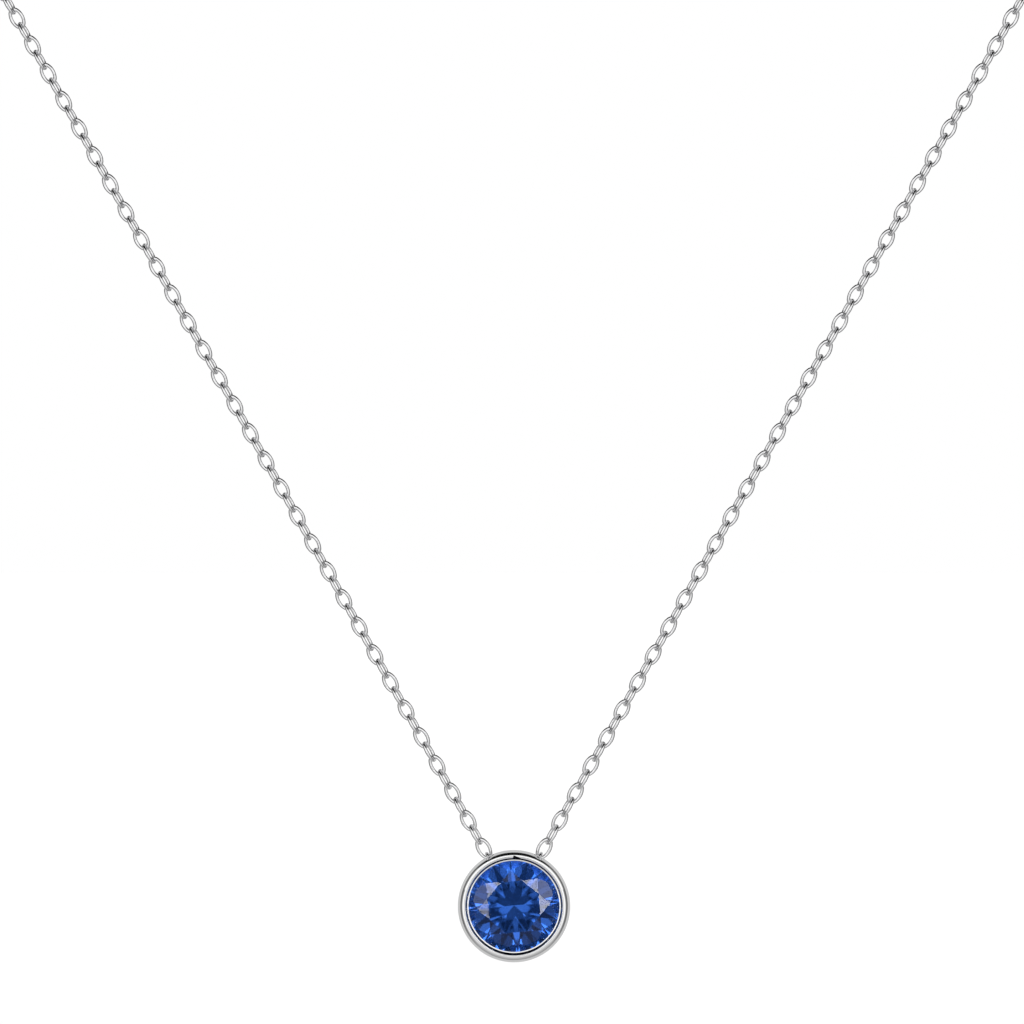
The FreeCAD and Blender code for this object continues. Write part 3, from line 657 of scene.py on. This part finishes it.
# the pale room behind the pendant, which is reflected mostly in views from behind
BACK_LIGHT = [(124, 0.10), (142, 0.80), (180, 1.0)]
# light from below
FLOOR_LIGHT = [(8, 0.90), (28, 0.66), (44, 0.52), (53, 0.48), (62, 0.45), (100, 0.32)] + BACK_LIGHT
# levels from the sides, at the angles of FLOOR_LIGHT
SIDE_LIGHT = [1.0, 0.97, 0.95, 0.20, 0.17, 0.13, 0.10, 0.80, 1.0]


def glow(name, strength):
    """A material that only gives out white light."""
    material = bpy.data.materials.new(name)
    material.use_nodes = True
    nodes, links = material.node_tree.nodes, material.node_tree.links
    nodes.clear()
    light = nodes.new("ShaderNodeEmission")
    light.inputs["Color"].default_value = (1, 1, 1, 1)
    light.inputs["Strength"].default_value = strength
    out = nodes.new("ShaderNodeOutputMaterial")
    links.new(light.outputs["Emission"], out.inputs["Surface"])
    return material


def direction(around, off_axis):
    """A direction from the pendant: off_axis degrees from straight ahead, which is nearly the line to
    the camera, turned around it anticlockwise from the viewer's right."""
    a, p = math.radians(around), math.radians(off_axis)
    return Vector((math.cos(a) * math.sin(p), -math.cos(p), math.sin(a) * math.sin(p)))


def out_of_sight(thing, glossy, inside):
    """Keep a card from everything but reflections in metal (glossy) and the stone's interior (inside)."""
    thing.visible_camera = False
    thing.visible_diffuse = False
    thing.visible_shadow = False
    thing.visible_volume_scatter = False
    thing.visible_glossy = glossy
    thing.visible_transmission = inside


def graded_glow(name, radius, stops):
    """A glow whose level runs through stops, each an angle off the line to the camera and a level. It
    is graded along Y, from -radius straight ahead to radius straight behind."""
    material = glow(name, 1.0)
    nodes, links = material.node_tree.nodes, material.node_tree.links
    place = nodes.new("ShaderNodeTexCoord")
    split = nodes.new("ShaderNodeSeparateXYZ")
    links.new(place.outputs["Object"], split.inputs["Vector"])
    grade = nodes.new("ShaderNodeValToRGB")
    links.new(ramp(nodes, links, split.outputs["Y"], 0, 1, -radius, radius), grade.inputs["Fac"])
    levels = grade.color_ramp.elements
    for i, (off_axis, level) in enumerate(stops):
        at = (1 - math.cos(math.radians(off_axis))) / 2
        stop = levels[i] if i < 2 else levels.new(at)
        stop.position = at
        stop.color = (level, level, level, 1)
    links.new(grade.outputs["Color"], nodes["Emission"].inputs["Strength"])
    return material


def dome_patch(name, off_axis, around, radius, stops, glossy=True, inside=False, tapered=False):
    """Part of a sphere about the pendant, between two angles off the line to the camera and two turns
    about that line. A tapered one narrows to nothing at both of its turns. Where two patches cover the
    same directions, the one of smaller radius is seen."""
    rows = np.linspace(*off_axis, PATCH_ROWS)
    columns = np.linspace(*around, PATCH_COLUMNS)
    middle, half = sum(around) / 2, (around[1] - around[0]) / 2
    points = []
    for p in rows:
        for a in columns:
            share = math.sqrt(max(0.0, 1 - ((a - middle) / half) ** 2)) if tapered else 1
            points.append(direction(a, sum(off_axis) / 2 + (p - sum(off_axis) / 2) * share))
    points = np.array(points) * radius / MM
    mesh = make_mesh(name, points, grid_quads(len(rows), len(columns), False, False))
    mesh.materials.append(graded_glow(name, radius, stops))
    patch = bpy.data.objects.new(name, mesh)
    bpy.context.scene.collection.objects.link(patch)
    patch.location = PENDANT * MM
    out_of_sight(patch, glossy, inside)


def near_light(name, around, off_axis, level, lit):
    """A square light close to the pendant and facing it, that only the objects in lit reflect."""
    lamp = bpy.data.lights.new(name, "AREA")
    lamp.size = NEAR_SIZE
    lamp.energy = level * math.pi * NEAR_SIZE**2
    card = bpy.data.objects.new(name, lamp)
    bpy.context.scene.collection.objects.link(card)
    way = direction(around, off_axis)
    card.rotation_mode = "QUATERNION"
    card.rotation_quaternion = way.to_track_quat("Z", "Y")
    # the camera looks a little down on the pendant, so what the facets mirror lies as much lower
    below_view = NEAR_DISTANCE * PENDANT_BELOW_MIDDLE / (PICTURE_WIDTH * LENS / SENSOR)
    card.location = Vector(PENDANT * MM) + way * NEAR_DISTANCE - Vector((0, 0, below_view))
    card.light_linking.receiver_collection = lit
    card.visible_camera = False
    card.visible_diffuse = False
    card.visible_transmission = False


def ring_card(name, depth, inner, outer, level):
    """A flat ring depth millimetres behind the girdle, that the pendant's rim reflects."""
    angle = np.linspace(0, 2 * math.pi, RING_STEPS, endpoint=False)
    ring = np.stack([np.cos(angle), 0 * angle, np.sin(angle)], axis=-1)
    middle = np.array([PENDANT[0], GIRDLE_Y + depth, PENDANT[2]])
    points = np.concatenate([middle + ring * inner, middle + ring * outer])
    mesh = make_mesh(name, points, grid_quads(2, len(angle), closed_rows=False))
    mesh.materials.append(glow(name, level))
    card = bpy.data.objects.new(name, mesh)
    bpy.context.scene.collection.objects.link(card)
    out_of_sight(card, glossy=True, inside=False)


def add_studio():
    world = bpy.data.worlds.new("studio")
    bpy.context.scene.world = world
    world.use_nodes = True
    background = world.node_tree.nodes["Background"]
    background.inputs["Color"].default_value = (1, 1, 1, 1)
    background.inputs["Strength"].default_value = 1.0

    # softboxes that light the stone's depth
    soft = [(8, 0.30), (18, 0.80), (35, 2.4), (60, 3.4), (180, 3.8)]
    for name, off_axis, around in (
        ("right_box", (8, 72), (-8, 58)),
        ("left_box", (8, 72), (134, 192)),
        ("top_box", (8, 55), (78, 104)),
    ):
        dome_patch(name, off_axis, around, SOFTBOX_DOME, soft, glossy=False, inside=True)
    # small bright lights close by, each seen in one of the stone's stars or kites
    stone_only = bpy.data.collections.new("stone_only")
    stone_only.objects.link(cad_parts["blue_stone"])
    for name, around, off_axis, level in (
        ("star_card_1", 3.4, 42, 11.5),
        ("star_card_2", 50.3, 42, 9.5),
        ("star_card_3", 140.7, 42, 9.0),
        ("star_card_4", 186.8, 42, 6.0),
        ("kite_card_1", 27.5, 69, 3.4),
        ("kite_card_2", 163.5, 69, 2.0),
    ):
        near_light(name, around, off_axis, level, stone_only)
    # what polished wire and rim reflect beside, behind and below: dark for their edges
    above = [(54, 0.95), (66, 0.22)] + BACK_LIGHT
    dome_patch("surround_above", (54, 180), (UPPER_START, 180 - UPPER_START), SURROUND_DOME, above)
    beside = [(44, 0.95), (53, 0.20)] + BACK_LIGHT
    dome_patch("surround_right", (44, 180), (-FADE_START, UPPER_START), SURROUND_DOME, beside)
    dome_patch("surround_left", (44, 180), (180 - UPPER_START, 180 + FADE_START), SURROUND_DOME, beside)
    dome_patch("below", (8, 180), (180 + FADE_END, 360 - FADE_END), SURROUND_DOME, FLOOR_LIGHT)
    step = (FADE_END - FADE_START) / FADE_STEPS
    for k in range(FADE_STEPS):
        share = (k + 0.5) / FADE_STEPS
        levels = []
        for (off_axis, floor_level), side_level in zip(FLOOR_LIGHT, SIDE_LIGHT):
            levels.append((off_axis, side_level + (floor_level - side_level) * share))
        first = FADE_START + k * step
        dome_patch(f"left_fade_{k}", (8, 180), (180 + first, 180 + first + step), SURROUND_DOME, levels)
        dome_patch(f"right_fade_{k}", (8, 180), (-first - step, -first), SURROUND_DOME, levels)
    black = [(0, 0.010), (180, 0.010)]
    dome_patch("top_flag", (40, 122), (45, 136), TOP_FLAG_DOME, black, tapered=True)
    ring_card("rim_card", depth=5.0, inner=5.0, outer=13.0, level=0.58)
    # the camera, seen in the table, and the light round it that the stone's depth returns
    dome_patch("camera_flag", (0, 6), (0, 360), CAMERA_FLAG_DOME, black)
    shade = [(0, 0.05), (14, 0.15), (24, 0.34), (36, 0.80), (50, 1.4)]
    bright = [(0, 1.9), (180, 1.9)]
    dim = [(100, 0.30), (180, 0.10)]
    for name, off_axis, radius, stops in (
        ("camera_shade", (0, 50), SHADE_DOME, shade),
        ("side_box", (50, 115), SIDE_BOX_DOME, bright),
        ("back_shade", (115, 180), SHADE_DOME, dim),
    ):
        dome_patch(name, off_axis, (0, 360), radius, stops, glossy=False, inside=True)

    floor = bpy.data.meshes.new("floor")
    level = cad_low[2] - FLOOR_DROP
    signs = ((-1, -1), (1, -1), (1, 1), (-1, 1))
    floor.from_pydata([(x * FLOOR_REACH, y * FLOOR_REACH, level) for x, y in signs], [], [(0, 1, 2, 3)])
    material, nodes, links, shader = new_material("floor_white")
    shader.inputs["Base Color"].default_value = (FLOOR_WHITE, FLOOR_WHITE, FLOOR_WHITE, 1)
    shader.inputs["Roughness"].default_value = 0.9
    shader.inputs["Emission Color"].default_value = (1, 1, 1, 1)
    shader.inputs["Emission Strength"].default_value = FLOOR_GLOW
    floor.materials.append(material)
    ground = bpy.data.objects.new("floor", floor)
    bpy.context.scene.collection.objects.link(ground)
    ground.visible_glossy = False
    ground.visible_transmission = False

    bpy.context.scene.view_settings.view_transform = "Standard"


def add_camera():
    camera = bpy.data.cameras.new("camera")
    camera.lens = LENS
    camera.sensor_width = SENSOR
    camera.clip_start, camera.clip_end = 0.01, 50
    holder = bpy.data.objects.new("camera", camera)
    bpy.context.scene.collection.objects.link(holder)
    chain_y = middle_of("left_lower_links")[1]
    aim = np.array([-PENDANT_RIGHT_OF_MIDDLE, chain_y, PENDANT[2] + PENDANT_BELOW_MIDDLE])
    holder.location = Vector(aim * MM) - Vector((0, PICTURE_WIDTH * LENS / SENSOR * MM, 0))
    holder.rotation_euler = (math.pi / 2, 0, 0)
    bpy.context.scene.camera = holder


for side in ("left", "right"):
    for part in RUNS:
        chain_run(side, part)
add_pendant()
add_clasp_end()
add_studio()
add_camera()
